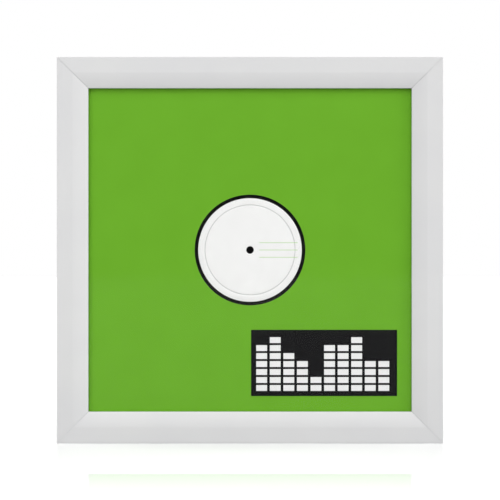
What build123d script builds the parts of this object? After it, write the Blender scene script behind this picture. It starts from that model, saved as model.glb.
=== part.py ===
"""Wall frame for a 12 inch record sleeve, loaded from the front.

Four mitred base profiles are screwed to the wall. Four mitred cover rails hinge
about their outer edges on a bead that is extruded with each base profile, so the
clear sheet, the sleeve and its disc go in from the front. Millimetres, +Z up, the
wall at y = 0 and the front towards -Y. The origin is the centre of the back.
"""

import math
import os

from build123d import *

os.makedirs("parts", exist_ok=True)

# The disc that the frame is made for, and its sleeve
sleeve_margin = 7.0
sleeve_card = 0.5
sleeve_room = 2.4
sleeve_hole_diameter = 106.8
disc_diameter = 301.0
disc_core = 1.6
disc_groove_land = 1.3
disc_land_radius = 53.0
disc_taper = 4.0
disc_rim = 3.0
label_diameter = 100.0
label_paper = 0.15
spindle_diameter = 7.24

# The stack of flat pieces in the pocket, from the wall outwards
panel_thickness = 2.0
clear_thickness = 1.0
pocket_clearance = 1.5
sheet_clearance = 0.5
lip_clearance = 0.3

# Cover rail, seen in section: a flat outer half, a crease, and a curved fall to the lip
rail_width = 29.8
lip_overlap = 1.8
cover_wall = 1.3
crease_inset = 14.6
face_drop = 3.2
face_bulge = 0.5
lip_thickness = 1.9
lip_height = 3.2
lip_round = 0.6
corner_round = 0.4
mitre_gap = 0.3
leg_inset = 8.6
leg_thickness = 1.2
leg_drop = 2.4
leg_round = 0.5

# Hinge, extruded in one with the profiles: a bead on the base, a socket on the cover
bead_radius = 1.5
bead_clearance = 0.08
socket_wall = 0.95
socket_setback = 0.07
socket_web = 1.3
neck_thickness = 0.9
stop_gap = 0.12
hinge_drop = 4.6
opening_angle = 90.0
swing_clearance = 0.3

# Base profile
base_floor = 1.4
base_wall = 1.4
shoulder_thickness = 1.2
ledge_reach = 7.5
rib_inset = 4.7
rib_thickness = 1.2
channel_height = 3.0
hook_reach = 2.0
hook_thickness = 1.2
back_round = 0.5

# Holes for the wall screws, in the top and bottom base profiles
wall_hole_diameter = 4.8
wall_hole_inset = 65.5

# Corner connectors and their grub screws
connector_clearance = 0.2
connector_lift = 0.2
connector_reach = 48.0
connector_round = 2.0
grub_diameter = 4.0
grub_clearance = 0.1
grub_end_distance = 8.0
grub_hex = 2.0
grub_hex_depth = 1.3

# Leaf springs, two to a rail
spring_strip = 0.5
spring_width = 25.0
spring_spacing_share = 0.35
spring_clearance = 0.3
spring_foot = 2.6
spring_belly = 3.6
spring_bend = 4.2
spring_crest_rise = 0.3
spring_curl = 0.9

# One overrun for every cut that passes a face
overrun = 1.0

# Places that follow from the sizes above
sleeve_side = disc_diameter + 2 * sleeve_margin
window_side = sleeve_side - 2 * lip_overlap
frame_side = window_side + 2 * rail_width
half_side = frame_side / 2
pocket_side = sleeve_side + 2 * pocket_clearance
pocket_inset = (frame_side - pocket_side) / 2
sheet_side = pocket_side - 2 * sheet_clearance
sleeve_thickness = 2 * sleeve_card + sleeve_room

panel_back = base_floor
sleeve_back = panel_back + panel_thickness
clear_back = sleeve_back + sleeve_thickness
clear_front = clear_back + clear_thickness
lip_bottom = clear_front + lip_clearance
lip_front = lip_bottom + lip_height
frame_depth = lip_front + face_drop
disc_middle = sleeve_back + sleeve_thickness / 2

socket_bore = bead_radius + bead_clearance
socket_radius = socket_bore + socket_wall
hinge_inset = socket_radius + socket_setback
hinge_height = frame_depth - hinge_drop
shoulder_top = hinge_height - hinge_inset - swing_clearance
neck_angle = math.degrees(math.asin((neck_thickness / 2 + stop_gap) / socket_bore))

rib_face = rib_inset + rib_thickness
pocket_wall_inset = pocket_inset - base_wall
hook_under = base_floor + channel_height
hook_top = hook_under + hook_thickness
channel_width = pocket_wall_inset - rib_face
channel_middle = rib_face + channel_width / 2
wall_hole_spacing = frame_side - 2 * wall_hole_inset
spring_spacing = spring_spacing_share * frame_side

leg_radius = math.hypot(leg_inset + leg_thickness - hinge_inset, leg_drop)
relief_length = hinge_inset + leg_radius + swing_clearance

# The four sides, each by the direction from its outer edge towards the middle
inward_directions = {
    "top": Vector(0, 0, -1),
    "right": Vector(-1, 0, 0),
    "bottom": Vector(0, 0, 1),
    "left": Vector(1, 0, 0),
}
forward = Vector(0, -1, 0)

# The four corners, each by its turn from the top right one about the middle
corner_turns = {"top_right": 0, "top_left": 90, "bottom_left": 180, "bottom_right": 270}


def section_plane(inward):
    """Plane across one side: its x runs inward from the outer edge, its y forward from the wall."""
    return Plane(origin=inward * -half_side, x_dir=inward, z_dir=inward.cross(forward))


def mitre_plane(section, end, setback):
    """Plane of one mitre cut, set back from the corner's diagonal, with its normal outwards."""
    along = section.z_dir * end
    corner = section.origin + along * (half_side - setback * math.sqrt(2))
    return Plane(origin=corner, z_dir=along + section.x_dir)


def corner_plane(turn, height):
    """Plane parallel to the wall, turned so that its first quadrant holds one corner."""
    return Plane(origin=forward * height, x_dir=Vector(1, 0, 0).rotate(Axis.Y, -turn), z_dir=forward)


def save(piece, name):
    """Label a finished piece and write its STEP file."""
    piece.part.label = name
    export_step(piece.part, f"parts/{name}.step")


# Section of the base profile: floor, shoulder, hinge bead, connector channel, pocket wall and ledge
with BuildSketch() as base_section:
    Rectangle(pocket_inset + ledge_reach, base_floor, align=Align.MIN)
    Rectangle(base_wall, shoulder_top, align=Align.MIN)
    with Locations((0, shoulder_top)):
        Rectangle(
            hinge_inset + neck_thickness / 2, shoulder_thickness, align=(Align.MIN, Align.MAX)
        )
    with Locations((hinge_inset, shoulder_top - shoulder_thickness)):
        Rectangle(
            neck_thickness,
            hinge_height - shoulder_top + shoulder_thickness,
            align=(Align.CENTER, Align.MIN),
        )
    with Locations((hinge_inset, hinge_height)):
        Circle(bead_radius)
    with Locations((rib_inset, 0)):
        Rectangle(rib_thickness, hook_top, align=Align.MIN)
    with Locations((rib_inset, hook_under)):
        Rectangle(rib_thickness + hook_reach, hook_thickness, align=Align.MIN)
    with Locations((pocket_wall_inset, 0)):
        Rectangle(base_wall, clear_front, align=Align.MIN)
    with Locations((pocket_inset, hook_under)):
        Rectangle(base_wall + hook_reach, hook_thickness, align=(Align.MAX, Align.MIN))
    outer_back_corner = base_section.vertices().sort_by_distance((0, 0, 0))[0]
    fillet(outer_back_corner, radius=back_round)

# Section of the cover rail: outer wall, flat, crease, curved fall, lip, spring leg and hinge socket
with BuildSketch() as cover_section:
    with BuildLine():
        flat_outer = Line((0, hinge_height), (0, frame_depth))
        flat_front = Line(flat_outer @ 1, (crease_inset, frame_depth))
        fall_front = SagittaArc(flat_front @ 1, (rail_width, lip_front), face_bulge)
        lip_edge = Line(fall_front @ 1, (rail_width, lip_bottom))
        lip_end = Line(lip_edge @ 1, (rail_width - lip_thickness, lip_bottom))
        lip_back = Line(lip_end @ 1, (rail_width - lip_thickness, lip_front - cover_wall))
        fall_back = SagittaArc(lip_back @ 1, (crease_inset, frame_depth - cover_wall), -face_bulge)
        flat_back = Line(fall_back @ 1, (cover_wall, frame_depth - cover_wall))
        outer_back = Line(flat_back @ 1, (cover_wall, hinge_height))
        Line(outer_back @ 1, flat_outer @ 0)
    make_face()
    outer_front_corner = cover_section.vertices().sort_by_distance(flat_outer @ 1)[0]
    fillet(outer_front_corner, radius=corner_round)
    lip_corners = [
        cover_section.vertices().sort_by_distance(spot)[0]
        for spot in (lip_edge @ 0, lip_edge @ 1, lip_end @ 1)
    ]
    fillet(lip_corners, radius=lip_round)
    with Locations((leg_inset, frame_depth - cover_wall)):
        Rectangle(
            leg_thickness,
            frame_depth - cover_wall - hinge_height + leg_drop,
            align=(Align.MIN, Align.MAX),
        )
    leg_corners = cover_section.vertices().sort_by(Axis.Y)[0:2]
    fillet(leg_corners, radius=leg_round)
    with Locations((cover_wall / 2, hinge_height + socket_bore)):
        Rectangle(
            hinge_inset + socket_web / 2 - cover_wall / 2,
            hinge_drop - cover_wall / 2 - socket_bore,
            align=Align.MIN,
        )
    with Locations((hinge_inset, hinge_height)):
        Circle(socket_radius)
        Circle(socket_bore, mode=Mode.SUBTRACT)
    with BuildLine():
        hinge_axis = Vector(hinge_inset, hinge_height)
        mouth_reach = 2 * socket_radius
        Polyline(
            hinge_axis,
            hinge_axis + Vector(mouth_reach).rotate(Axis.Z, -90 - opening_angle - neck_angle),
            hinge_axis + Vector(2 * mouth_reach).rotate(Axis.Z, -90 - opening_angle / 2),
            hinge_axis + Vector(mouth_reach).rotate(Axis.Z, -90 + neck_angle),
            close=True,
        )
    make_face(mode=Mode.SUBTRACT)

# Section of a leaf spring: a foot under the inner hook, a belly on the floor, an upright at the leg
with BuildSketch() as spring_section:
    half_strip = spring_strip / 2
    foot_end = pocket_wall_inset - connector_clearance - half_strip
    foot_height = hook_under - half_strip - connector_lift / 2
    belly_height = base_floor + half_strip
    crest_inset = leg_inset + leg_thickness + spring_clearance + half_strip
    crest_height = hinge_height - leg_drop + spring_crest_rise
    with BuildLine():
        foot = Line((foot_end, foot_height), (foot_end - spring_foot, foot_height))
        belly_start = Vector(crest_inset + spring_bend + spring_belly, belly_height)
        ramp = Line(foot @ 1, belly_start)
        belly = Line(ramp @ 1, (crest_inset + spring_bend, belly_height))
        bend_middle = Vector(crest_inset + spring_bend, belly_height + spring_bend)
        bend = CenterArc(bend_middle, spring_bend, 270, -90)
        Line(bend @ 1, (crest_inset, crest_height))
        CenterArc((crest_inset + spring_curl, crest_height), spring_curl, 180, -45)
        offset(amount=half_strip, side=Side.BOTH, kind=Kind.INTERSECTION)
    make_face()

for side, inward in inward_directions.items():
    section = section_plane(inward)

    # Base profile, mitred face to face with its neighbours
    with BuildPart() as base:
        with BuildSketch(section):
            add(base_section.sketch)
        extrude(amount=half_side, both=True)
        for end in (-1, 1):
            split(bisect_by=mitre_plane(section, end, 0), keep=Keep.BOTTOM)
        if side in ("top", "bottom"):
            channel_line = section.origin + inward * channel_middle
            with Locations(Plane(channel_line, x_dir=section.z_dir, z_dir=forward)):
                with GridLocations(wall_hole_spacing, 0, 2, 1):
                    Hole(wall_hole_diameter / 2)
    save(base, f"base_{side}")

    # Cover rail, set back from the mitre planes
    with BuildPart() as rail:
        with BuildSketch(section):
            add(cover_section.sketch)
        extrude(amount=half_side, both=True)
        for end in (-1, 1):
            split(bisect_by=mitre_plane(section, end, mitre_gap / 2), keep=Keep.BOTTOM)
        # The socket's lower half and the leg stop short of the mitres, where they swing inwards
        for start in (-half_side, half_side - relief_length):
            with BuildSketch(section.offset(start)):
                Rectangle(relief_length, hinge_height, align=Align.MIN)
            extrude(amount=relief_length, mode=Mode.SUBTRACT)
        # The outer wall's lower corners are bevelled, so that two neighbours can stand open
        with BuildSketch(Plane(section.origin, x_dir=-section.z_dir, z_dir=inward)):
            for end in (-1, 1):
                with BuildLine():
                    Polyline(
                        (end * (half_side - mitre_gap / 2), hinge_height + hinge_inset),
                        (end * (half_side - mitre_gap / 2 - hinge_inset), hinge_height),
                        (end * (half_side + overrun), hinge_height),
                        (end * (half_side + overrun), hinge_height + hinge_inset),
                        close=True,
                    )
                make_face()
        extrude(amount=hinge_inset, mode=Mode.SUBTRACT)
    save(rail, f"rail_{side}")

    # Two leaf springs that push on the rail's leg
    with BuildPart() as springs:
        for place in (-spring_spacing / 2, spring_spacing / 2):
            with BuildSketch(section.offset(place - spring_width / 2)):
                add(spring_section.sketch)
        extrude(amount=spring_width)
    save(springs, f"springs_{side}")

# Corner connectors: flat angle plates in the channels, with a threaded hole in each arm
connector_outer = half_side - rib_face - connector_clearance
connector_arm_width = channel_width - 2 * connector_clearance
connector_inner = connector_outer - connector_arm_width
connector_end = half_side - connector_reach
connector_thickness = channel_height - connector_lift
grub_across = half_side - channel_middle
grub_along = connector_end + grub_end_distance
grub_spots = ((grub_across, grub_along), (grub_along, grub_across))

for corner, turn in corner_turns.items():
    with BuildPart() as connector:
        with BuildSketch(corner_plane(turn, base_floor + connector_lift)) as angle:
            with BuildLine():
                Polyline(
                    (connector_outer, connector_outer),
                    (connector_outer, connector_end),
                    (connector_inner, connector_end),
                    (connector_inner, connector_inner),
                    (connector_end, connector_inner),
                    (connector_end, connector_outer),
                    close=True,
                )
            make_face()
            arm_end = connector_end + overrun
            fillet([v for v in angle.vertices() if min(v.X, v.Y) < arm_end], connector_round)
            with Locations(*grub_spots):
                Circle(grub_diameter / 2 + grub_clearance, mode=Mode.SUBTRACT)
        extrude(amount=connector_thickness)
    save(connector, f"corner_connector_{corner}")

# Grub screws, which stand on the channel floor and lift the connectors against the hooks
with BuildPart() as grub_screws:
    for turn in corner_turns.values():
        with BuildSketch(corner_plane(turn, base_floor)):
            with Locations(*grub_spots):
                Circle(grub_diameter / 2)
    extrude(amount=channel_height)
    for turn in corner_turns.values():
        with BuildSketch(corner_plane(turn, hook_under - grub_hex_depth)):
            with Locations(*grub_spots):
                RegularPolygon(grub_hex / 2, 6, major_radius=False)
    extrude(amount=grub_hex_depth, mode=Mode.SUBTRACT)
save(grub_screws, "grub_screws")

# Back panel, lying on the ledges of the base profiles
with BuildPart() as back_panel:
    with BuildSketch(Plane.XZ.offset(panel_back)):
        Rectangle(sheet_side, sheet_side)
    extrude(amount=panel_thickness)
save(back_panel, "back_panel")

# Clear sheet, just behind the lips
with BuildPart() as clear_sheet:
    with BuildSketch(Plane.XZ.offset(clear_back)):
        Rectangle(sheet_side, sheet_side)
    extrude(amount=clear_thickness)
save(clear_sheet, "clear_sheet")

# Sleeve: two card panels, closed along three edges, open to the right, die-cut in the middle
with BuildPart() as record_sleeve:
    with BuildSketch(Plane.XZ.offset(sleeve_back)):
        Rectangle(sleeve_side, sleeve_side)
    extrude(amount=sleeve_thickness)
    with BuildSketch(Plane.XZ.offset(sleeve_back + sleeve_card)):
        with Locations((sleeve_card - sleeve_side / 2, 0)):
            Rectangle(sleeve_side, sleeve_side - 2 * sleeve_card, align=(Align.MIN, Align.CENTER))
    extrude(amount=sleeve_room, mode=Mode.SUBTRACT)
    with BuildSketch(Plane.XZ.offset(sleeve_back)):
        Circle(sleeve_hole_diameter / 2)
    extrude(amount=sleeve_thickness, mode=Mode.SUBTRACT)
save(record_sleeve, "record_sleeve")

# Disc: a raised land for the labels, thinner grooved bands, and a raised rim
with BuildPart() as record_disc:
    with BuildSketch(Plane(forward * disc_middle, x_dir=(1, 0, 0), z_dir=(0, 0, -1))):
        with BuildLine():
            Polyline(
                (spindle_diameter / 2, 0),
                (spindle_diameter / 2, disc_core / 2),
                (disc_land_radius, disc_core / 2),
                (disc_land_radius + disc_taper, disc_groove_land / 2),
                (disc_diameter / 2 - disc_rim, disc_groove_land / 2),
                (disc_diameter / 2 - disc_core / 2, disc_core / 2),
                (disc_diameter / 2, 0),
                close=True,
            )
        make_face()
        mirror(about=Plane.XZ)
    revolve(axis=Axis.Y)
save(record_disc, "record_disc")

# Paper labels, one on each side of the disc
for face, outwards in (("front", forward), ("back", -forward)):
    label_seat = forward * disc_middle + outwards * (disc_core / 2)
    with BuildPart() as record_label:
        with BuildSketch(Plane(label_seat, x_dir=(1, 0, 0), z_dir=outwards)):
            Circle(label_diameter / 2)
            Circle(spindle_diameter / 2, mode=Mode.SUBTRACT)
        extrude(amount=label_paper)
    save(record_label, f"record_label_{face}")
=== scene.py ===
# %% [markdown]
# A wall frame for a record sleeve, dressed for its photograph.
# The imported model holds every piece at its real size, and the scene is built round it.
# This first step loads the model. Each of its nodes is a Blender object whose place is in
# its mesh, so a new piece that is worked out from the same sizes fits without being moved.

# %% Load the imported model
import math

import bpy
import numpy as np
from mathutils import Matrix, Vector


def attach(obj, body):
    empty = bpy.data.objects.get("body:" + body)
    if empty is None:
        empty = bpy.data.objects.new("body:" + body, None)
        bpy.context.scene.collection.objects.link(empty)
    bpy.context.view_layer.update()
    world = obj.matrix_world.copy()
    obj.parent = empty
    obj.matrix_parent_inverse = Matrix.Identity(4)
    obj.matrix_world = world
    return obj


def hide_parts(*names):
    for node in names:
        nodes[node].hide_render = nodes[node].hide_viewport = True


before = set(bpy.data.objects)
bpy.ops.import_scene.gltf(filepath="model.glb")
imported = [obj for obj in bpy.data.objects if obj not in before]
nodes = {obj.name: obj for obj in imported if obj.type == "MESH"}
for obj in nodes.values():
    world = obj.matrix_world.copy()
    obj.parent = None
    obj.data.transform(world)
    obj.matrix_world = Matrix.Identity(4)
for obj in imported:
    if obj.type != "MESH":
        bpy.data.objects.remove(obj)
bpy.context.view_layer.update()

# %% [markdown]
# The shapes are worked out in millimetres, because that is how the real pieces are
# measured, and they are turned to Blender's metres only where a mesh is made.
# A frame has four sides that are alike, so one rail or one point is described once, by how
# far it lies inward from the outer edge, how far along the side, and how far from the wall.
# The alternative, four copies that are turned afterwards, would leave turned objects behind.

# %% Places on a side
MM = 0.001
HALF_SIDE = 185.5
FORWARD = np.array((0.0, -1.0, 0.0))
INWARD = {
    "top": np.array((0.0, 0.0, -1.0)),
    "right": np.array((-1.0, 0.0, 0.0)),
    "bottom": np.array((0.0, 0.0, 1.0)),
    "left": np.array((1.0, 0.0, 0.0)),
}


def on_side(side, inward, along, height):
    """Points of one side: outer edge + inward * I + along * (I x F) + height * F."""
    direction = INWARD[side]
    across = np.cross(direction, FORWARD)
    inward, along, height = np.broadcast_arrays(inward, along, height)
    return (
        (inward - HALF_SIDE)[..., None] * direction
        + along[..., None] * across
        + height[..., None] * FORWARD
    )


print("middle of the top rail's front:", on_side("top", 7.3, 0.0, 14.5))

# %% [markdown]
# Every new piece is a grid of points, with one row for each step of a profile and one
# column for each step along its path. Numpy works the whole grid out at once, and the
# faces join each point to its neighbours. A grid can close on itself in either direction,
# as a ring does, and its open ends can be capped by one face each.

# %% Grids into meshes
def grid_faces(rows, columns, close_rows=False, close_columns=False):
    """Four point numbers a face: (r, c), (r+1, c), (r+1, c+1), (r, c+1), wrapped where closed."""
    r = np.arange(rows if close_rows else rows - 1)[:, None]
    c = np.arange(columns if close_columns else columns - 1)[None, :]
    this, after = r * columns, (r + 1) % rows * columns
    right = (c + 1) % columns
    corners = (this + c, after + c, after + right, this + right)
    return np.stack(corners, axis=-1).reshape(-1, 4)


def make_object(name, points, faces):
    """An object at the origin whose mesh has these points, in millimetres, and these faces."""
    mesh = bpy.data.meshes.new(name)
    places = (points.reshape(-1, 3) * MM).tolist()
    mesh.from_pydata(places, [], [list(map(int, face)) for face in faces])
    mesh.validate()
    piece = bpy.data.objects.new(name, mesh)
    bpy.context.scene.collection.objects.link(piece)
    return piece


print("a closed 4 by 3 grid has", len(grid_faces(4, 3, True, True)), "faces")

# %% [markdown]
# A mesh that is stitched from several grids has doubled points where they meet, and its
# faces may point either way. They are merged first and turned outwards afterwards, because
# a solid that is inside out would shade wrongly and would be wrong as a part too.
# Smooth shading is then split wherever two faces meet at a real edge.

# %% Merge, turn outwards and shade
import bmesh

MICRON = 0.001 * MM


def tidy_mesh(piece, sharp_degrees=32.0):
    """Merge points within a micron, point faces outwards, and split shading at sharp edges."""
    work = bmesh.new()
    work.from_mesh(piece.data)
    bmesh.ops.remove_doubles(work, verts=work.verts, dist=MICRON)
    bmesh.ops.recalc_face_normals(work, faces=work.faces)
    work.to_mesh(piece.data)
    work.free()
    piece.data.shade_smooth()
    piece.data.set_sharp_from_angle(angle=math.radians(sharp_degrees))
    piece.data.update()


def is_closed(piece):
    """True if every edge of the piece's mesh has exactly two faces."""
    loops = np.empty(len(piece.data.loops), dtype=np.int32)
    piece.data.loops.foreach_get("edge_index", loops)
    return bool((np.bincount(loops, minlength=len(piece.data.edges)) == 2).all())


def belongs(piece, body, slot, *stands_for):
    """Attach a piece to the body that carries it, and hide the nodes it stands for. The slot is
    not used.
    """
    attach(piece, body)
    if stands_for:
        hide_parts(*stands_for)


print("points closer than", MICRON, "m are merged")

# %% [markdown]
# A material starts from what the real finish is. Its colours are written as the hex values
# that a designer would read off a sample, and one function turns them to the linear light
# that the shader works in. A pattern's scale is a real size: noise of scale s repeats about
# s times in a metre, so a grain of some millimetres becomes a thousand over that size.
# One small function adds every node, so a material's code is the list of its nodes. Noise
# mostly lies between 0.3 and 0.7, so a Map Range node spreads that over the values wanted.

# %% Colours and nodes
NOISE = {"From Min": 0.3, "From Max": 0.7}


def linear(hex_colour):
    """sRGB hex to linear RGBA: c / 12.92 below 0.04045, else ((c + 0.055) / 1.055) ** 2.4."""
    srgb = np.array([int(hex_colour[i:i + 2], 16) for i in (1, 3, 5)]) / 255
    rgb = np.where(srgb <= 0.04045, srgb / 12.92, ((srgb + 0.055) / 1.055) ** 2.4)
    return (*rgb.tolist(), 1.0)


def per_metre(size_mm):
    """The noise scale whose features are about this many millimetres across."""
    return 1000.0 / size_mm


def add_node(material, kind, inputs=(), **settings):
    """Add a node, set its properties, and give its inputs values or links.

    Inputs are listed in the order of the sockets in use, or named in a dict. A node that is
    given as an input stands for its first output in use.
    """
    tree = material.node_tree
    node = tree.nodes.new(f"ShaderNode{kind}")
    for name, value in settings.items():
        setattr(node, name, value)
    sockets = [socket for socket in node.inputs if socket.enabled]
    if isinstance(inputs, dict):
        sockets = [node.inputs[name] for name in inputs]
        inputs = inputs.values()
    for socket, value in zip(sockets, inputs):
        if isinstance(value, bpy.types.Node):
            value = next(output for output in value.outputs if output.enabled)
        if isinstance(value, bpy.types.NodeSocket):
            tree.links.new(value, socket)
        else:
            socket.default_value = value
    return node


def new_material(name):
    """An empty node material, with the Object coordinates that its patterns read."""
    material = bpy.data.materials.new(name)
    material.use_nodes = True
    material.node_tree.nodes.clear()
    return material, add_node(material, "TexCoord").outputs["Object"]


print("white paint at 50 % grey is", np.round(linear("#808080")[:3], 3))

# %% [markdown]
# The cover rails are extruded aluminium with a white powder coat. The powder is baked on,
# and as it melts it pulls into soft ripples called orange peel, about 1.5 mm from crest to
# crest and only a few thousandths of a millimetre high. They break up the reflections, and
# a finer grain on top changes the gloss from place to place. The photograph shows no bright
# patch of a lamp on the rails, so the coat is nearly matte, and mirrors little.

# %% White powder coat
def powder_coat():
    """White powder coat, baked: nearly matte, with orange peel and a fine grain."""
    material, place = new_material("white powder coat, fine matte")
    ripple_inputs = {"Vector": place, "Scale": per_metre(1.6), "Detail": 1.0}
    ripples = add_node(material, "TexNoise", ripple_inputs)
    grain = add_node(material, "TexNoise", {"Vector": place, "Scale": per_metre(0.45)})
    cloud = add_node(material, "TexNoise", {"Vector": place, "Scale": per_metre(55.0)})
    drift = add_node(material, "MapRange", {"Value": cloud, **NOISE})
    whites = linear("#D4D4D4"), linear("#D1D1D2")
    tint = add_node(material, "Mix", (drift, *whites), data_type="RGBA")
    gloss = {"Value": grain, **NOISE, "To Min": 0.44, "To Max": 0.56}
    peel = add_node(material, "Bump", {"Height": ripples, "Distance": 0.008 * MM})
    relief = {"Height": grain, "Distance": 0.002 * MM, "Normal": peel}
    coat = add_node(
        material,
        "BsdfPrincipled",
        {
            "Base Color": tint,
            "Roughness": add_node(material, "MapRange", gloss),
            "IOR": 1.5,
            "Specular IOR Level": 0.25,
            "Normal": add_node(material, "Bump", relief),
        },
    )
    add_node(material, "OutputMaterial", {"Surface": coat})
    return material


white_coat = powder_coat()
print("made", white_coat.name)

# %% [markdown]
# A cover rail is one extrusion, so it is one outline carried along a straight path, and cut
# at 45 degrees where it meets its neighbours. Seen in section it has an outer wall, a flat
# front, a crease, a fall that curves down to the lip, a leg for the springs, and the socket
# of the hinge. The rounded corners are arcs of a few points each, so that they catch light
# as thin lines, where a plain corner would look cut from paper.

# %% Arcs for outlines
def arc(centre, radius, start, end, steps):
    """Points at centre + radius * (cos a, sin a), a going evenly from start to end degrees."""
    angle = np.radians(np.linspace(start, end, steps + 1))[:, None]
    return np.asarray(centre) + radius * np.hstack((np.cos(angle), np.sin(angle)))


def bowed(start, end, bulge, steps):
    """An arc through two points that stands this far off their chord, to its left going along."""
    start, end = np.asarray(start, float), np.asarray(end, float)
    chord = end - start
    half = np.hypot(*chord) / 2
    radius = (half**2 + bulge**2) / (2 * bulge)
    normal = np.array((-chord[1], chord[0])) / (2 * half)
    centre = (start + end) / 2 - normal * (radius - bulge)
    first = math.degrees(math.atan2(*(start - centre)[::-1]))
    turn = 2 * math.degrees(math.asin(half / radius))
    return arc(centre, radius, first, first - turn, steps)


print("a bowed line from 0 to 10:", np.round(bowed((0, 0), (10, 0), 1.0, 2), 2).tolist())

# %% [markdown]
# The outline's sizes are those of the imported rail, in millimetres, with heights measured
# from the wall and widths from the frame's outer edge. The socket reaches round the bead
# between two angles, counted from the inward direction, and the rest of the turn is its
# mouth. The fall meets the lip's rounding at 71 degrees, and that rounding is raised by
# a sixth of a millimetre so that the two join.

# %% The cover rail's outline
RAIL_WIDTH = 29.8
FRONT = 14.5
LIP_FRONT = 11.3
LIP_BACK = 8.1
LIP_THICKNESS = 1.9
LIP_ROUND = 0.6
CREASE = 14.6
BOW = 0.5
FALL_END = 71
FALL_JOIN = 0.167
WALL = 1.3
EDGE_ROUND = 0.4
HINGE = np.array((2.6, 9.9))
BORE = 1.58
SOCKET = 2.53
MOUTH_START = -68.87
MOUTH_END = 158.87
LEG = (8.6, 9.8)
LEG_FOOT = 7.5
LEG_ROUND = 0.5


def rail_outline():
    """The rail's section, once round clockwise: (inward, height) from the hinge's mouth on."""
    web_side = HINGE[0] + WALL / 2
    web_angle = math.degrees(math.acos((web_side - HINGE[0]) / SOCKET))
    mouth_side = HINGE[1] + HINGE[0] * math.tan(math.radians(180 - MOUTH_END))
    under = FRONT - WALL
    lip_inside = RAIL_WIDTH - LIP_THICKNESS
    lip_middle = RAIL_WIDTH - LIP_ROUND
    fall = bowed((CREASE, FRONT), (RAIL_WIDTH, LIP_FRONT), BOW, 18)
    back = bowed((CREASE, under), (lip_inside, LIP_FRONT - WALL), BOW, 8)[::-1]
    pieces = (
        [(0.0, mouth_side)],
        arc((EDGE_ROUND, FRONT - EDGE_ROUND), EDGE_ROUND, 180, 90, 5),
        fall[fall[:, 0] < lip_middle],
        arc((lip_middle, LIP_FRONT - LIP_ROUND + FALL_JOIN), LIP_ROUND, FALL_END, 0, 6),
        arc((lip_middle, LIP_BACK + LIP_ROUND), LIP_ROUND, 0, -90, 5),
        arc((lip_inside + LIP_ROUND, LIP_BACK + LIP_ROUND), LIP_ROUND, -90, -180, 5),
        back,
        [(LEG[1], under)],
        arc((LEG[1] - LEG_ROUND, LEG_FOOT + LEG_ROUND), LEG_ROUND, 0, -90, 4),
        arc((LEG[0] + LEG_ROUND, LEG_FOOT + LEG_ROUND), LEG_ROUND, -90, -180, 4),
        [(LEG[0], under), (web_side, under)],
        arc(HINGE, SOCKET, web_angle, MOUTH_START, 24),
        arc(HINGE, BORE, MOUTH_START, MOUTH_END, 30),
    )
    return np.vstack(pieces)


outline = rail_outline()
print("the rail's outline has", len(outline), "points")

# %% [markdown]
# Each point of the outline runs along the side and stops at the mitre, so it runs less far
# the further inward it lies: that one line gives the 45 degree cut. Two neighbours keep
# a hair's breadth apart, which the photograph shows as a faint line across each corner.
# At both ends the socket's lower half and the leg stop short, because two open rails would
# meet there, and the outer wall's lower corner is bevelled. These are cut by boolean.

# %% Carry an outline, and cut
MITRE_GAP = 0.16
RELIEF = 10.489
SPARE = 1.0
OVERLAP = 0.01


def prism(name, points):
    """A solid between two rows of points: a strip of faces all round, and a cap on each row."""
    count = points.shape[1]
    caps = [list(range(count)), list(range(2 * count - 1, count - 1, -1))]
    return make_object(name, points, grid_faces(2, count, close_columns=True).tolist() + caps)


def rail_body(side):
    """From mitre to mitre: along = -1 or 1 times (half side - inward - gap / 2 * root 2)."""
    inward, height = outline.T
    reach = HALF_SIDE - inward - MITRE_GAP / 2 * math.sqrt(2)
    ends = np.array((-1.0, 1.0))[:, None]
    return prism(f"cover_rail_{side}", on_side(side, inward, ends * reach, height))


def wedge(side, corners, inward_to):
    """A block whose (along, height) outline is carried inward from outside the rail."""
    along, height = np.array(corners).T
    depth = np.array((-SPARE, inward_to))[:, None]
    block = prism("cut", on_side(side, depth, along, height))
    tidy_mesh(block)
    return block


def cut_away(piece, blocks):
    """Subtract the blocks from the piece, keep the result as its mesh, and remove the blocks."""
    for block in blocks:
        cut = piece.modifiers.new("cut", "BOOLEAN")
        cut.operation = "DIFFERENCE"
        cut.solver = "EXACT"
        cut.object = block
    evaluated = piece.evaluated_get(bpy.context.evaluated_depsgraph_get())
    mesh = bpy.data.meshes.new_from_object(evaluated)
    piece.modifiers.clear()
    piece.data = mesh
    for block in blocks:
        bpy.data.objects.remove(block)


def cover_rail(side):
    """One cover rail, cut at its ends, with its normals weighted towards the large faces."""
    rail = rail_body(side)
    tidy_mesh(rail)
    inner, outer = HALF_SIDE - RELIEF, HALF_SIDE + SPARE
    tip = HALF_SIDE - MITRE_GAP / 2
    hinge, level = HINGE
    low, high = level - OVERLAP, level + hinge
    below = np.array([(inner, 0), (inner, level), (outer, level), (outer, 0)])
    bevel = np.array([(tip, high), (tip - hinge, low), (outer, low), (outer, high)])
    blocks = []
    for end in (-1, 1):
        blocks += [wedge(side, below * (end, 1), RELIEF), wedge(side, bevel * (end, 1), hinge)]
    cut_away(rail, blocks)
    tidy_mesh(rail)
    weigh = rail.modifiers.new("large faces stay flat", "WEIGHTED_NORMAL")
    weigh.keep_sharp = True
    rail.data.materials.append(white_coat)
    belongs(rail, f"{side}_rail", "white_powder_coat", f"rail_{side}")
    return rail


rails = [cover_rail(side) for side in INWARD]
for rail in rails:
    print(rail.name, len(rail.data.polygons), "faces, closed:", is_closed(rail))

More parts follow.
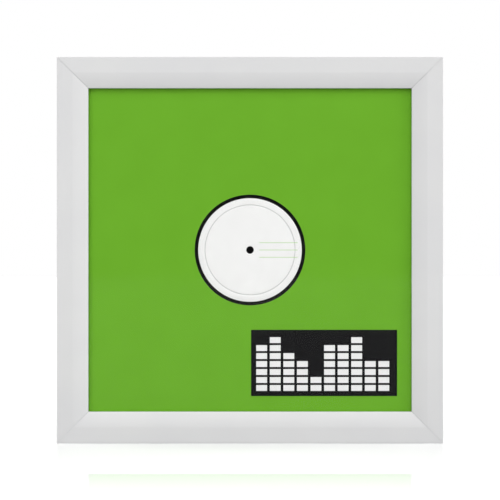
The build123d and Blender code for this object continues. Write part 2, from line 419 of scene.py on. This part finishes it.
# %% [markdown]
# The sleeve is a folded card bag, printed green. Its two panels are half a millimetre thick
# and joined by folded strips along the left, top and bottom edges, and the right edge is
# open for the disc. A round hole is die-cut through both panels so that the label shows.
# One closed outline, like a C that opens towards the hole, is carried round the hole. Its
# inner end follows a circle and its outer end a square, and the points between are blended,
# which keeps both the hole and the straight edges exact.
# The clear sheet lies on the card. Two faces in one plane would hide each other at random,
# so the card is made a little under 0.1 mm thinner on each side than the room it has.

# %% The sleeve's shape
SLEEVE_HALF = 157.5
HOLE_RADIUS = 53.4
CARD = 0.5
SLEEVE_BACK = 3.45
SLEEVE_FRONT = 6.72
MOUTH_DEPTH = 2.0


def circle_to_square(share, inset, turns):
    """(1 - share) * circle of the hole + share * square inset from the edge, both at angle a."""
    angle = np.linspace(0, 2 * np.pi, turns, endpoint=False)[None, :]
    direction = np.stack((np.cos(angle), np.sin(angle)))
    square = (SLEEVE_HALF - inset[:, None]) / np.abs(direction).max(axis=0)
    radius = (1 - share[:, None]) * HOLE_RADIUS + share[:, None] * square
    return radius * direction[0], radius * direction[1]


def sleeve_outline():
    """The section as (share, inset, height): front, fold, back, then the inside of it."""
    fold = arc((CARD, 0.0), CARD, 90, 180, 5)
    shares = np.linspace(0, 1, 5)[:, None]
    flat = np.hstack((shares, np.full((5, 1), CARD), np.zeros((5, 1))))
    front_fold = np.column_stack((np.ones(6), fold[:, 0], SLEEVE_FRONT - CARD + fold[:, 1]))
    back_fold = np.column_stack((np.ones(6), fold[:, 0], SLEEVE_BACK + CARD - fold[:, 1]))[::-1]
    return np.vstack(
        (
            flat + (0, 0, SLEEVE_FRONT),
            front_fold[1:],
            back_fold[:-1],
            (flat + (0, 0, SLEEVE_BACK))[::-1],
            flat + (0, 0, SLEEVE_BACK + CARD),
            (flat + (0, 0, SLEEVE_FRONT - CARD))[::-1],
        )
    )


def sleeve_body(turns=256):
    """The section carried once round the hole, as a grid that closes both ways."""
    section = sleeve_outline()
    x, z = circle_to_square(section[:, 0], section[:, 1], turns)
    y = np.broadcast_to(-section[:, 2:3], x.shape)
    faces = grid_faces(len(section), turns, close_rows=True, close_columns=True)
    return make_object("card_sleeve", np.stack((x, y, z), axis=-1), faces)


sleeve = sleeve_body()
tidy_mesh(sleeve)
end, low, high = SLEEVE_HALF - CARD, SLEEVE_BACK + CARD, SLEEVE_FRONT - CARD
mouth = [(-end, low), (end, low), (end, high), (-end, high)]
cut_away(sleeve, [wedge("right", mouth, HALF_SIDE - SLEEVE_HALF + MOUTH_DEPTH)])
tidy_mesh(sleeve, 40.0)
print(sleeve.name, len(sleeve.data.polygons), "faces, closed:", is_closed(sleeve))

# %% [markdown]
# A print is drawn by arithmetic on the place: a mask is a number that is 1 where the ink is
# and 0 elsewhere. Masks are multiplied where several have to hold at once. The functions
# here serve several pieces: a band between two values, a row of equal marks, the place in
# millimetres, the distance from the middle that a ring needs, and inks laid one on another.

# %% Masks
def all_of(material, mask, *others):
    """1 where every mask is 1, else 0: the masks multiplied, one after another."""
    for other in others:
        mask = add_node(material, "Math", (mask, other), operation="MULTIPLY")
    return mask


def inside(material, value, low, high):
    """1 where low < value < high, else 0: (value > low) * (value < high)."""
    above = add_node(material, "Math", (value, low), operation="GREATER_THAN")
    below = add_node(material, "Math", (value, high), operation="LESS_THAN")
    return all_of(material, above, below)


def spaced(material, value, start, spacing, share):
    """Marks from start on: the number floor(n) of each, and 1 where n - floor(n) < share.

    n is (value - start) / spacing.
    """
    past = add_node(material, "Math", (value, start), operation="SUBTRACT")
    count = add_node(material, "Math", (past, spacing), operation="DIVIDE")
    part = add_node(material, "Math", (count,), operation="FRACT")
    number = add_node(material, "Math", (count,), operation="FLOOR")
    return number, add_node(material, "Math", (part, share), operation="LESS_THAN")


def millimetres(material, place):
    """The place's x, y and z in millimetres, as three numbers."""
    scaled = add_node(material, "VectorMath", (place, 1 / MM), operation="SCALE")
    return add_node(material, "SeparateXYZ", (scaled,)).outputs[:]


def from_middle(material, x, z):
    """The distance from the disc's middle: the root of x * x + z * z."""
    square = add_node(material, "Math", (z, z), operation="MULTIPLY")
    square = add_node(material, "Math", (x, x, square), operation="MULTIPLY_ADD")
    return add_node(material, "Math", (square,), operation="SQRT")


def inked(material, colour, *layers):
    """The colour under layers of ink, each a (mask, hex colour) that covers what is below it."""
    for mask, ink in layers:
        colour = add_node(material, "Mix", (mask, colour, linear(ink)), data_type="RGBA")
    return colour


print("a print is made from masks, places and inks")

# %% [markdown]
# Offset ink on coated card is an even colour with a soft sheen, and under it the board's
# fibres show as a faint unevenness some tenths of a millimetre across. The panel at the
# lower right is printed black with columns of white bars like a level meter. How many bars
# are lit in a column follows the sum of two waves over the column's number, so that it
# rises and falls without repeating. Where the die has cut the card, its grey core shows.

# %% Printed green card
METER_LEFT, METER_RIGHT = 1.0, 142.0
METER_LOW, METER_HIGH = -141.0, -77.0
METER_EDGE = 5.0
COLUMN_SPACING, COLUMN_SHARE = 13.1, 0.8
BAR_SPACING, BAR_SHARE = 7.7, 0.74
WAVE_TURN, WAVE_START, WAVE_HEIGHT = 1.15, 0.4, 1.9
RIPPLE_TURN = 2.9
MIDDLE_LEVEL = 4.4
INK_DEPTH = 0.05


def level_meter(material, x, z):
    """Masks of a black panel and of its white bars.

    A column is lit up to 4.4 + sin(2.9 n) + 1.9 sin(1.15 n + 0.4) bars, n being its number.
    """
    left, right = METER_LEFT + METER_EDGE, METER_RIGHT - METER_EDGE
    low, high = METER_LOW + METER_EDGE, METER_HIGH - METER_EDGE
    panel = all_of(
        material,
        inside(material, x, METER_LEFT, METER_RIGHT),
        inside(material, z, METER_LOW, METER_HIGH),
    )
    field = all_of(material, inside(material, x, left, right), inside(material, z, low, high))
    column, on_column = spaced(material, x, left, COLUMN_SPACING, COLUMN_SHARE)
    bar, on_bar = spaced(material, z, low, BAR_SPACING, BAR_SHARE)
    turned = add_node(material, "Math", (column, RIPPLE_TURN), operation="MULTIPLY")
    ripple = add_node(material, "Math", (turned,), operation="SINE")
    turned = add_node(material, "Math", (column, WAVE_TURN, WAVE_START), operation="MULTIPLY_ADD")
    wave = add_node(material, "Math", (turned,), operation="SINE")
    middle = add_node(material, "Math", (ripple, MIDDLE_LEVEL), operation="ADD")
    level = add_node(material, "Math", (wave, WAVE_HEIGHT, middle), operation="MULTIPLY_ADD")
    lit = add_node(material, "Math", (bar, level), operation="LESS_THAN")
    return panel, all_of(material, lit, on_column, on_bar, field)


def printed_card():
    """Coated card, offset-printed green, with a black and white panel on its front."""
    material, place = new_material("coated card, offset printed")
    x, y, z = millimetres(material, place)
    cloud_inputs = {"Vector": place, "Scale": per_metre(30.0), "Detail": 3.0}
    cloud = add_node(material, "TexNoise", cloud_inputs)
    fibre_inputs = {"Vector": place, "Scale": per_metre(0.6), "Detail": 3.0, "Roughness": 0.6}
    fibre = add_node(material, "TexNoise", fibre_inputs)
    drift = add_node(material, "MapRange", {"Value": cloud, **NOISE})
    pale = add_node(material, "MapRange", {"Value": fibre, **NOISE, "To Max": 0.5})
    front = add_node(material, "Math", (y, INK_DEPTH - SLEEVE_FRONT), operation="LESS_THAN")
    panel, bars = level_meter(material, x, z)
    radius = from_middle(material, x, z)
    cut = add_node(material, "Math", (radius, HOLE_RADIUS + OVERLAP), operation="LESS_THAN")
    colour = inked(
        material,
        linear("#6EB12A"),
        (drift, "#6BAD27"),
        (pale, "#71B22E"),
        (all_of(material, panel, front), "#0E0E10"),
        (all_of(material, bars, front), "#F1F1F1"),
        (cut, "#8E8C84"),
    )
    gloss = {"Value": fibre, **NOISE, "To Min": 0.55, "To Max": 0.7}
    print_shader = add_node(
        material,
        "BsdfPrincipled",
        {
            "Base Color": colour,
            "Roughness": add_node(material, "MapRange", gloss),
            "IOR": 1.48,
            "Specular IOR Level": 0.1,
            "Normal": add_node(material, "Bump", {"Height": fibre, "Distance": 0.006 * MM}),
        },
    )
    add_node(material, "OutputMaterial", {"Surface": print_shader})
    return material


card = printed_card()
sleeve.data.materials.append(card)
belongs(sleeve, "wall_frame", "green_card", "record_sleeve")
print("made", card.name, "with", len(card.node_tree.nodes), "nodes")

# %% [markdown]
# The disc is pressed vinyl. From the middle outwards it has the land for the labels, the
# run-out, bands of grooves with a narrow gap between two tracks, and a raised rim that keeps
# two stacked discs apart. Its outline is carried round the spindle hole, which is a lathe
# shape: radius along one side of the grid and angle along the other.

# %% Lathe shapes about the middle
def lathe(name, profile, turns=256):
    """(r cos a, -height, r sin a) for each (r, height) of a closed profile and each angle a."""
    angle = np.linspace(0, 2 * np.pi, turns, endpoint=False)[None, :]
    radius, height = profile[:, 0:1], profile[:, 1:2]
    y = np.broadcast_to(-height, (len(profile), turns))
    points = np.stack((radius * np.cos(angle), y, radius * np.sin(angle)), axis=-1)
    faces = grid_faces(len(profile), turns, close_rows=True, close_columns=True)
    return make_object(name, points, faces)


DISC_MIDDLE = 5.1
DISC_RADIUS = 150.5
SPINDLE_RADIUS = 3.62
LAND = 0.8
GROOVED = 0.65
TRACK_GAPS = (71.0, 87.5, 104.0, 120.5, 136.0)
GAP_DEPTH = 0.02
RING_RADIUS = 43.45
RING_WIDTH = 1.1
RING_DEPTH = 0.3


def pressed_ring(height):
    """A ring as (radius, height): height - depth * (1 + cos t) / 2, t from -pi to pi across."""
    across = np.linspace(-1, 1, 9)
    drop = RING_DEPTH * (0.5 + 0.5 * np.cos(np.pi * across))
    return np.column_stack((RING_RADIUS + across * RING_WIDTH / 2, height - drop))


def disc_profile():
    """One face of the disc as (radius, height above its middle), then the same mirrored."""
    across = np.array((-0.5, -0.2, 0.2, 0.5))
    depth = np.array((0.0, -GAP_DEPTH, -GAP_DEPTH, 0.0))
    radii = (np.array(TRACK_GAPS)[:, None] + across).ravel()
    tracks = np.column_stack((radii, np.tile(GROOVED + depth, len(TRACK_GAPS))))
    face = np.vstack(
        (
            [(SPINDLE_RADIUS, LAND - 0.12), (SPINDLE_RADIUS + 0.12, LAND)],
            pressed_ring(LAND),
            [(52.0, LAND), (53.0, LAND), (54.2, 0.76), (55.8, 0.69), (57.0, GROOVED)],
            tracks,
            [(146.0, GROOVED), (147.5, GROOVED), (148.3, 0.69), (149.0, 0.77), (149.7, LAND)],
            [(150.2, 0.6), (150.4, 0.3)],
        )
    )
    back = face[::-1] * (1, -1)
    return np.vstack((face, [(DISC_RADIUS, 0.0)], back)) + (0, DISC_MIDDLE)


disc = lathe("vinyl_disc", disc_profile(), turns=288)
tidy_mesh(disc)
print(disc.name, len(disc.data.polygons), "faces, closed:", is_closed(disc))

# %% [markdown]
# Record vinyl is black PVC with carbon in it, and as smooth as the stamper that pressed it.
# Its grooves lie about 0.1 mm apart. That is too fine to show here, so the rings are drawn
# 0.4 mm apart, and they give the disc its fan of light. The land inside them stays smooth.

# %% Pressed black vinyl
GROOVE_SPACING = 0.4
GROOVES = (58.5, 147.0)


def pressed_vinyl():
    """Black vinyl: glossy, with rings from a sine of the radius where the grooves are."""
    material, place = new_material("black vinyl, pressed")
    x, _, z = millimetres(material, place)
    radius = from_middle(material, x, z)
    turn = 2 * math.pi / GROOVE_SPACING
    turned = add_node(material, "Math", (radius, turn), operation="MULTIPLY")
    rings = add_node(material, "Math", (turned,), operation="SINE")
    grooved = inside(material, radius, *GROOVES)
    rings = add_node(material, "Math", (rings, grooved), operation="MULTIPLY")
    flow_inputs = {"Vector": place, "Scale": per_metre(18.0), "Detail": 3.0}
    flow = add_node(material, "TexNoise", flow_inputs)
    blacks = linear("#040404"), linear("#070707")
    gloss = {"Value": flow, **NOISE, "To Min": 0.16, "To Max": 0.24}
    pvc = add_node(
        material,
        "BsdfPrincipled",
        {
            "Base Color": add_node(material, "Mix", (flow, *blacks), data_type="RGBA"),
            "Roughness": add_node(material, "MapRange", gloss),
            "IOR": 1.53,
            "Specular IOR Level": 0.35,
            "Normal": add_node(material, "Bump", {"Height": rings, "Distance": 0.012 * MM}),
        },
    )
    add_node(material, "OutputMaterial", {"Surface": pvc})
    return material


vinyl = pressed_vinyl()
disc.data.materials.append(vinyl)
belongs(disc, "wall_frame", "black_vinyl", "record_disc")
print("made", vinyl.name)

# %% [markdown]
# A label is a ring of uncoated paper that was pressed into the hot vinyl. The press leaves
# a fine ring in both, 87 mm across, and a shallow dish round the spindle hole. They are in
# the mesh, because a pressed ring has walls that light and shade by themselves.

# %% The two labels
LABEL_RADIUS = 50.0
LABEL_PAPER = 0.15


def label_profile():
    """The label as (radius, height from the disc's middle).

    From the hole outwards: the dish, the pressed ring and the edge, then the underside.
    """
    top = np.vstack(
        (
            [(SPINDLE_RADIUS, 0.05), (SPINDLE_RADIUS + 0.1, 0.1), (5.0, 0.11), (6.0, LABEL_PAPER)],
            [(20.0, LABEL_PAPER), (RING_RADIUS - 2 * RING_WIDTH, LABEL_PAPER)],
            pressed_ring(LABEL_PAPER),
            [(RING_RADIUS + 2 * RING_WIDTH, LABEL_PAPER), (LABEL_RADIUS - 0.15, LABEL_PAPER)],
            [(LABEL_RADIUS - 0.04, LABEL_PAPER - 0.03), (LABEL_RADIUS, LABEL_PAPER - 0.08)],
            [(LABEL_RADIUS, 0.0)],
            pressed_ring(0.0)[::-1],
            [(SPINDLE_RADIUS, 0.0)],
        )
    )
    return top + (0, LAND)


front_label = lathe("label_front", label_profile() + (0, DISC_MIDDLE))
back_label = lathe("label_back", label_profile() * (1, -1) + (0, DISC_MIDDLE))
for label in (front_label, back_label):
    tidy_mesh(label, 50.0)
    print(label.name, len(label.data.polygons), "faces, closed:", is_closed(label))

# %% [markdown]
# Uncoated label paper is nearly pure white and scatters light evenly, with fibres about a
# third of a millimetre across. Over the pressed ring the paper is painted light grey: painted
# shade that deepens the groove's own shading. To the right of the hole are three thin green
# rules to write on, drawn from the place on the label.

# %% White label paper
RULES_LEFT, RULES_RIGHT, RULES_UP = 9.0, 46.0, 8.0
RULES_APART = 7.0
RULE_WIDTH = 0.56


def label_paper():
    """Uncoated paper, white, with a soft fibre, painted shade on the pressed ring and three thin
    green rules.
    """
    material, place = new_material("label paper, uncoated")
    x, _, z = millimetres(material, place)
    fibre_inputs = {"Vector": place, "Scale": per_metre(0.35), "Detail": 3.0, "Roughness": 0.6}
    fibre = add_node(material, "TexNoise", fibre_inputs)
    cloud = add_node(material, "TexNoise", {"Vector": place, "Scale": per_metre(9.0)})
    drift = add_node(material, "MapRange", {"Value": cloud, **NOISE})
    from_rule = add_node(material, "Math", (z, RULES_APART / 2), operation="PINGPONG")
    on_rule = add_node(material, "Math", (from_rule, RULE_WIDTH / 2), operation="LESS_THAN")
    across = inside(material, x, RULES_LEFT, RULES_RIGHT)
    up = inside(material, z, -RULES_UP, RULES_UP)
    radius = from_middle(material, x, z)
    # The band over the pressed ring is painted light grey: painted shade for its groove.
    near, far = RING_RADIUS - RING_WIDTH / 3, RING_RADIUS + RING_WIDTH / 3
    colour = inked(
        material,
        linear("#F6F6F5"),
        (drift, "#F2F2F1"),
        (inside(material, radius, near, far), "#CACACA"),
        (all_of(material, on_rule, across, up), "#B4D795"),
    )
    gloss = {"Value": fibre, **NOISE, "To Min": 0.8, "To Max": 0.92}
    sheet = add_node(
        material,
        "BsdfPrincipled",
        {
            "Base Color": colour,
            "Roughness": add_node(material, "MapRange", gloss),
            "IOR": 1.45,
            "Normal": add_node(material, "Bump", {"Height": fibre, "Distance": 0.008 * MM}),
        },
    )
    add_node(material, "OutputMaterial", {"Surface": sheet})
    return material


paper = label_paper()
for label, node in ((front_label, "record_label_front"), (back_label, "record_label_back")):
    label.data.materials.append(paper)
    belongs(label, "wall_frame", "white_label_paper", node)
print("made", paper.name)

# %% [markdown]
# The clear sheet in front of the sleeve is polyester. Nearly all light goes straight
# through it, and a little more is mirrored the flatter it is looked at. That is a see-through
# shader and a glossy one, whose share grows with the fifth power of the slant. The Fresnel
# node would not do here: the see-through shader doesn't bend light, so on the way out of the
# sheet that node would turn every slanting ray back, and leave the card in the dark. The
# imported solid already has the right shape, so it stays, and only its material is new. Rolled
# sheet is never quite flat: faint waves a few centimetres long bend what it mirrors.

# %% Clear polyester sheet
SLANT_POWER = 5.0
HEAD_ON = 0.005


def clear_polyester():
    """Clear sheet: a face mirrors head on + (1 - head on) * (1 - cos a) ** 5 of the light."""
    material, place = new_material("clear polyester sheet, rolled")
    wave_inputs = {"Vector": place, "Scale": per_metre(45.0), "Detail": 1.0}
    waves = add_node(material, "TexNoise", wave_inputs)
    haze = add_node(material, "TexNoise", {"Vector": place, "Scale": per_metre(6.0)})
    normal = add_node(material, "Bump", {"Height": waves, "Distance": 0.03 * MM})
    gloss = {"Value": haze, **NOISE, "To Min": 0.02, "To Max": 0.05}
    roughness = add_node(material, "MapRange", gloss)
    mirror_inputs = {"Color": linear("#FFFFFF"), "Roughness": roughness, "Normal": normal}
    mirror = add_node(material, "BsdfGlossy", mirror_inputs)
    through = add_node(material, "BsdfTransparent", {"Color": linear("#FDFDFD")})
    slant = add_node(material, "LayerWeight", {"Normal": normal}).outputs["Facing"]
    steep = add_node(material, "Math", (slant, SLANT_POWER), operation="POWER")
    share = add_node(material, "Math", (steep, 1 - HEAD_ON, HEAD_ON), operation="MULTIPLY_ADD")
    both = add_node(material, "MixShader", (share, through, mirror))
    add_node(material, "OutputMaterial", {"Surface": both})
    return material


def coat_node(name, material):
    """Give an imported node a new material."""
    node = nodes[name]
    node.data.materials.clear()
    node.data.materials.append(material)


coat_node("clear_sheet", clear_polyester())
print("the clear sheet mirrors", HEAD_ON, "of the light that meets it head on")

# %% [markdown]
# The metals lie behind the rails and show only when these are open or from the back: the
# zinc-plated corner connectors, the black grub screws and the leaf springs.
# Zinc plating is a bright metal clouded by its pale chromate, and black oxide is so thin
# that the steel under it keeps its shine. Spring strip is ground along its length, so its
# grain is noise that is stretched, by scaling the place that it reads.

# %% Metals behind the rails
ROUGHNESS_DRIFT = 0.07


def metal(name, light, dark, cloud_mm, roughness, stretch=(1.0, 1.0, 1.0)):
    """A metal whose colour and gloss drift between two values, over clouds or long streaks."""
    material, place = new_material(name)
    pulled = add_node(material, "Mapping", {"Vector": place, "Scale": stretch})
    cloud_inputs = {"Vector": pulled, "Scale": per_metre(cloud_mm), "Detail": 4.0}
    cloud = add_node(material, "TexNoise", cloud_inputs)
    grain_inputs = {"Vector": pulled, "Scale": per_metre(cloud_mm / 6)}
    grain = add_node(material, "TexNoise", grain_inputs)
    drift = add_node(material, "MapRange", {"Value": cloud, **NOISE})
    tints = linear(light), linear(dark)
    dull, bright = roughness + ROUGHNESS_DRIFT, roughness - ROUGHNESS_DRIFT
    gloss = {"Value": grain, **NOISE, "To Min": bright, "To Max": dull}
    bare = add_node(
        material,
        "BsdfPrincipled",
        {
            "Base Color": add_node(material, "Mix", (drift, *tints), data_type="RGBA"),
            "Metallic": 1.0,
            "Roughness": add_node(material, "MapRange", gloss),
            "Normal": add_node(material, "Bump", {"Height": grain, "Distance": 0.003 * MM}),
        },
    )
    add_node(material, "OutputMaterial", {"Surface": bare})
    return material


zinc = metal("zinc-plated steel, clear chromate", "#C9CDD2", "#ABB0B6", 7.0, 0.36)
black_oxide = metal("steel, black oxide", "#34353A", "#232428", 1.5, 0.42)
STRIP = ("#A9ADB3", "#8C9097", 2.0, 0.3)
strip_along_x = metal("spring steel strip, ground along x", *STRIP, (0.05, 1.0, 1.0))
strip_along_z = metal("spring steel strip, ground along z", *STRIP, (1.0, 1.0, 0.05))
strips = {side: strip_along_x for side in ("top", "bottom")}
strips |= {side: strip_along_z for side in ("right", "left")}
print("made", zinc.name, "|", black_oxide.name, "|", strip_along_x.name)

# %% [markdown]
# The back panel is black polystyrene, extruded as sheet. The rollers that it passes between
# leave a fine grain, so that it looks soft and dark, without a mirror image, and it is all
# that is seen through the spindle hole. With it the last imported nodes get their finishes:
# their shapes are right as they are, so a new mesh would add nothing.

# %% Black plastic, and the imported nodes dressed
def polystyrene():
    """Black polystyrene sheet, extruded: a matte face with the fine grain of its rollers."""
    material, place = new_material("black polystyrene sheet, extruded")
    grain = add_node(material, "TexNoise", {"Vector": place, "Scale": per_metre(0.8)})
    cloud = add_node(material, "TexNoise", {"Vector": place, "Scale": per_metre(40.0)})
    blacks = linear("#0D0D0E"), linear("#121213")
    gloss = {"Value": grain, **NOISE, "To Min": 0.5, "To Max": 0.64}
    plastic = add_node(
        material,
        "BsdfPrincipled",
        {
            "Base Color": add_node(material, "Mix", (cloud, *blacks), data_type="RGBA"),
            "Roughness": add_node(material, "MapRange", gloss),
            "IOR": 1.59,
            "Specular IOR Level": 0.03,
            "Normal": add_node(material, "Bump", {"Height": grain, "Distance": 0.01 * MM}),
        },
    )
    add_node(material, "OutputMaterial", {"Surface": plastic})
    return material


coat_node("back_panel", polystyrene())
coat_node("grub_screws", black_oxide)
for name in nodes:
    if name.startswith("corner_connector_"):
        coat_node(name, zinc)
for side in INWARD:
    coat_node(f"base_{side}", white_coat)
    coat_node(f"springs_{side}", strips[side])
print("made the back panel's finish, and dressed the nodes that no new piece replaces")

# %% [markdown]
# The stage is a pale floor under white light. The floor is white to the camera and grey to
# the light that it throws back, because the photograph's bottom rail is darker than its top
# one. Its polish mirrors the frame's lower edge faintly, most at a slanting look, and fades
# out towards the camera. It is nearly as pale as paint gets, so that the lights that whiten
# it needn't be so strong that they wash out the frame's white sides.

# %% Floor
BOUNCE_NEAR, BOUNCE_FAR = 30.0, 200.0
POLISH_NEAR, POLISH_FAR = 205.0, 460.0
POLISH = 0.85
FLOOR_REACH = 9000.0
FLOOR_LEVEL = -HALF_SIDE - 0.02


def pale_floor():
    """White to the camera and mid grey to the light that it bounces, polished near the frame."""
    material, place = new_material("pale studio floor")
    cloud = add_node(material, "TexNoise", {"Vector": place, "Scale": per_metre(200.0)})
    whites = linear("#FCFCFC"), linear("#FAFAFA")
    pale = add_node(material, "Mix", (cloud, *whites), data_type="RGBA")
    from_foot = millimetres(material, place)[1]
    from_foot = add_node(material, "Math", (from_foot,), operation="ABSOLUTE")
    grey_inputs = {"Value": from_foot, "From Min": BOUNCE_NEAR, "From Max": BOUNCE_FAR}
    far = add_node(material, "MapRange", grey_inputs, interpolation_type="SMOOTHSTEP")
    greys = linear("#868686"), linear("#B5B5B5")
    bounced = add_node(material, "Mix", (far, *greys), data_type="RGBA")
    seen = add_node(material, "LightPath").outputs["Is Camera Ray"]
    colour = add_node(material, "Mix", (seen, bounced, pale), data_type="RGBA")
    matte = add_node(material, "BsdfDiffuse", {"Color": colour})
    gloss = add_node(material, "BsdfGlossy", {"Color": linear("#FFFFFF"), "Roughness": 0.02})
    slant = add_node(material, "LayerWeight").outputs["Facing"]
    steep = add_node(material, "Math", (slant, SLANT_POWER), operation="POWER")
    polish_inputs = (from_foot, POLISH_NEAR, POLISH_FAR, POLISH, 0.0)
    polish = add_node(material, "MapRange", polish_inputs)
    polish = add_node(material, "Math", (polish, steep), operation="MULTIPLY")
    both = add_node(material, "MixShader", (polish, matte, gloss))
    add_node(material, "OutputMaterial", {"Surface": both})
    return material


corners = np.array(((-1, -1), (1, -1), (1, 1), (-1, 1))) * FLOOR_REACH
floor_points = np.column_stack((corners, np.full(4, FLOOR_LEVEL)))
floor = make_object("studio_floor", floor_points, [(0, 1, 2, 3)])
floor.data.materials.append(pale_floor())
print("the floor lies at z =", FLOOR_LEVEL, "mm")

# %% [markdown]
# The light of a studio comes mostly from large soft sources, so the world itself gives an
# even glow, a little stronger overhead. The backdrop is white to the camera and to what the
# floor's polish mirrors. Behind the camera it is dark, so that the clear sheet has nothing
# bright to mirror. What a polished surface mirrors turns from that dark and the glow to
# white between two directions, which are given by their y.

# %% World
GLOW = 0.46
OVERHEAD = 0.1
DARK = 0.03
DARK_WITHIN, DARK_FADES_AT = 18, 30
MIRRORS_GLOW, MIRRORS_WHITE = -0.6, -0.3


def studio_world():
    """White to the camera, glow + overhead * height ** 2 to light, and dark round -Y.

    Rays off a polished surface see white too, apart from those that go towards the camera.
    """
    world = bpy.data.worlds.new("studio")
    world.use_nodes = True
    world.node_tree.nodes.clear()
    place = add_node(world, "TexCoord").outputs["Generated"]
    _, y, z = add_node(world, "SeparateXYZ", (place,)).outputs
    height = add_node(world, "Math", (z, 0.0), operation="MAXIMUM")
    height = add_node(world, "Math", (height, height), operation="MULTIPLY")
    sky = add_node(world, "Math", (height, OVERHEAD, GLOW), operation="MULTIPLY_ADD")
    towards_camera = add_node(world, "Math", (y, -1.0), operation="MULTIPLY")
    edges = [math.cos(math.radians(angle)) for angle in (DARK_FADES_AT, DARK_WITHIN)]
    dark_inputs = (towards_camera, *edges, sky, DARK)
    behind = add_node(world, "MapRange", dark_inputs, interpolation_type="SMOOTHSTEP")
    ray = add_node(world, "LightPath").outputs
    away_inputs = (y, MIRRORS_GLOW, MIRRORS_WHITE)
    away = add_node(world, "MapRange", away_inputs, interpolation_type="SMOOTHSTEP")
    white_inputs = (ray["Is Glossy Ray"], away, ray["Is Camera Ray"])
    white = add_node(world, "Math", white_inputs, operation="MULTIPLY_ADD")
    strength = add_node(world, "Mix", (white, behind, 1.0))
    light = add_node(world, "Background", {"Color": linear("#FFFFFF"), "Strength": strength})
    add_node(world, "OutputWorld", {"Surface": light})
    return world


bpy.context.scene.world = studio_world()
print("the world glows at", GLOW)

# %% [markdown]
# Five suns with very wide discs stand in for soft boxes, because a sun lights the whole
# floor alike. Three stand in front, and the shades of the lips on the card give their
# places: the top one's is the deepest, the right one's the longest and so the most
# slanting. Two stand a little behind the frame's plane and light its outer sides and the
# floor. A lamp shines along its own -Z, so its +Z is turned to where its light comes from.

# %% Lights
def wide_sun(name, towards, share, width_degrees):
    """A sun whose light, head on, gives a white surface this share of full brightness."""
    lamp = bpy.data.lights.new(name, "SUN")
    lamp.energy = math.pi * share
    lamp.angle = math.radians(width_degrees)
    light = bpy.data.objects.new(name, lamp)
    light.rotation_mode = "QUATERNION"
    light.rotation_quaternion = Vector(towards).to_track_quat("Z", "Y")
    bpy.context.scene.collection.objects.link(light)
    return light


lights = [
    wide_sun("top_front_light", (0.0, -0.66, 0.75), 0.54, 58),
    wide_sun("left_front_light", (-0.62, -0.77, 0.1), 0.2, 30),
    wide_sun("right_front_light", (0.95, -0.3, 0.1), 0.54, 30),
    wide_sun("right_back_light", (0.76, 0.18, 0.63), 0.3, 22),
    wide_sun("left_back_light", (-0.76, 0.18, 0.63), 0.3, 22),
]
print(len(lights), "soft lights")

# %% [markdown]
# The photograph was taken square on, with the object's middle in the picture's middle. The
# picture spans 480 mm at the frame's front, and a sensor 36 mm wide sees that span from
# a distance D through a lens of 36 * D / 480. At 1.5 m the lips hide little of the sleeve.

# %% Camera
PICTURE_SPAN = 0.48
DISTANCE = 1.5
SENSOR = 36.0

lens = bpy.data.cameras.new("camera")
lens.sensor_width = SENSOR
lens.lens = SENSOR * DISTANCE / PICTURE_SPAN
lens.clip_start = 0.05
lens.clip_end = 40.0
camera = bpy.data.objects.new("camera", lens)
camera.location = (0.0, -DISTANCE - FRONT * MM, 0.0)
camera.rotation_euler = (math.radians(90), 0.0, 0.0)
bpy.context.scene.collection.objects.link(camera)
bpy.context.scene.camera = camera
bpy.context.scene.view_settings.view_transform = "Standard"
print("lens", round(lens.lens, 2), "mm")
